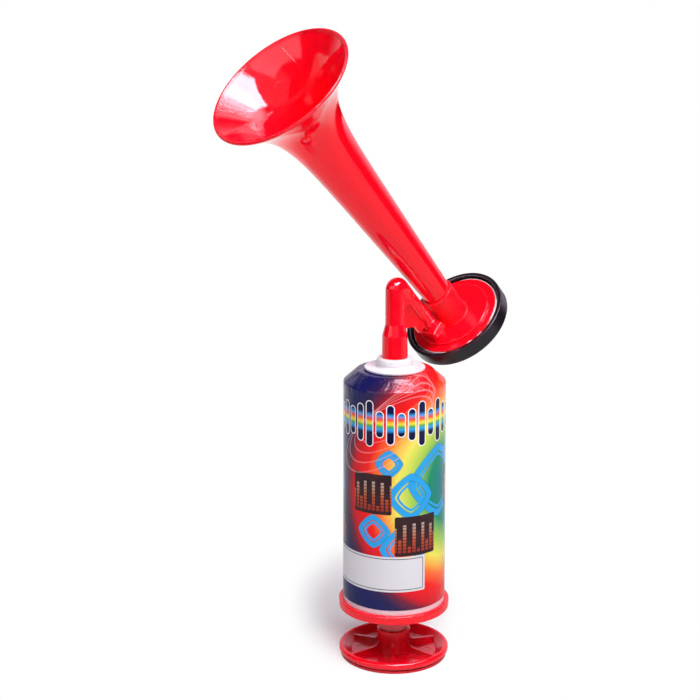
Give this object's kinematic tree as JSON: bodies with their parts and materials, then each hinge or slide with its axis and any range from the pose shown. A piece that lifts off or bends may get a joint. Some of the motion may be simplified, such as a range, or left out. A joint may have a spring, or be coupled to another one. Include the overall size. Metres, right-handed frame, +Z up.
{
  "type": "air horn",
  "caption": "Hand-pump air horn: a red flared trumpet and diaphragm housing on an elbow that turns on a cylindrical pump, standing on its pull handle.",
  "frame": {"origin": "centre of the underside of the pull handle, on the surface that the horn stands on", "axes": "+Z up along the pump's axis; the horn lies in the YZ plane with its bell towards -Y and up; +X to the right of someone facing the bell from behind the pump"},
  "size_m": [0.0624, 0.1448, 0.2812],
  "materials": {
    "red_plastic": "glossy moulded",
    "frosted_plastic": "frosted",
    "milky_plastic": "milky",
    "white_plastic": "satin moulded",
    "black_plastic": "satin moulded",
    "printed_film": "glossy print",
    "black_rubber": "matte",
    "diaphragm_film": "thin film",
    "screw_steel": "zinc plated"
  },
  "bodies": {
    "plunger": {"pull_handle": "red_plastic", "piston_rod": "frosted_plastic", "rod_plug": "white_plastic", "piston_head": "white_plastic", "piston_screw": "screw_steel"},
    "ring": {"piston_ring": "black_rubber"},
    "barrel": {"pump_barrel": "milky_plastic", "printed_sleeve": "printed_film", "end_cap": "red_plastic", "outlet_collar": "white_plastic", "collar_washer": "black_rubber"},
    "horn": {"elbow_pipe": "red_plastic", "spigot_seal": "black_rubber", "horn_housing": "red_plastic", "trumpet": "red_plastic", "diaphragm": "diaphragm_film", "diaphragm_gasket": "black_rubber", "back_cap": "black_plastic"}
  },
  "joints": [
    {"name": "pump_stroke", "type": "slide", "parent": "plunger", "child": "barrel", "axis": [0, 0, 1], "range_m": [0, 0.08]},
    {"name": "ring_float", "type": "slide", "parent": "plunger", "child": "ring", "axis": [0, 0, 1], "range_m": [0, 0.0013]},
    {"name": "horn_swivel", "type": "hinge", "parent": "barrel", "child": "horn", "pos_m": [0, 0, 0.135], "axis": [0, 0, 1], "continuous": true}
  ]
}
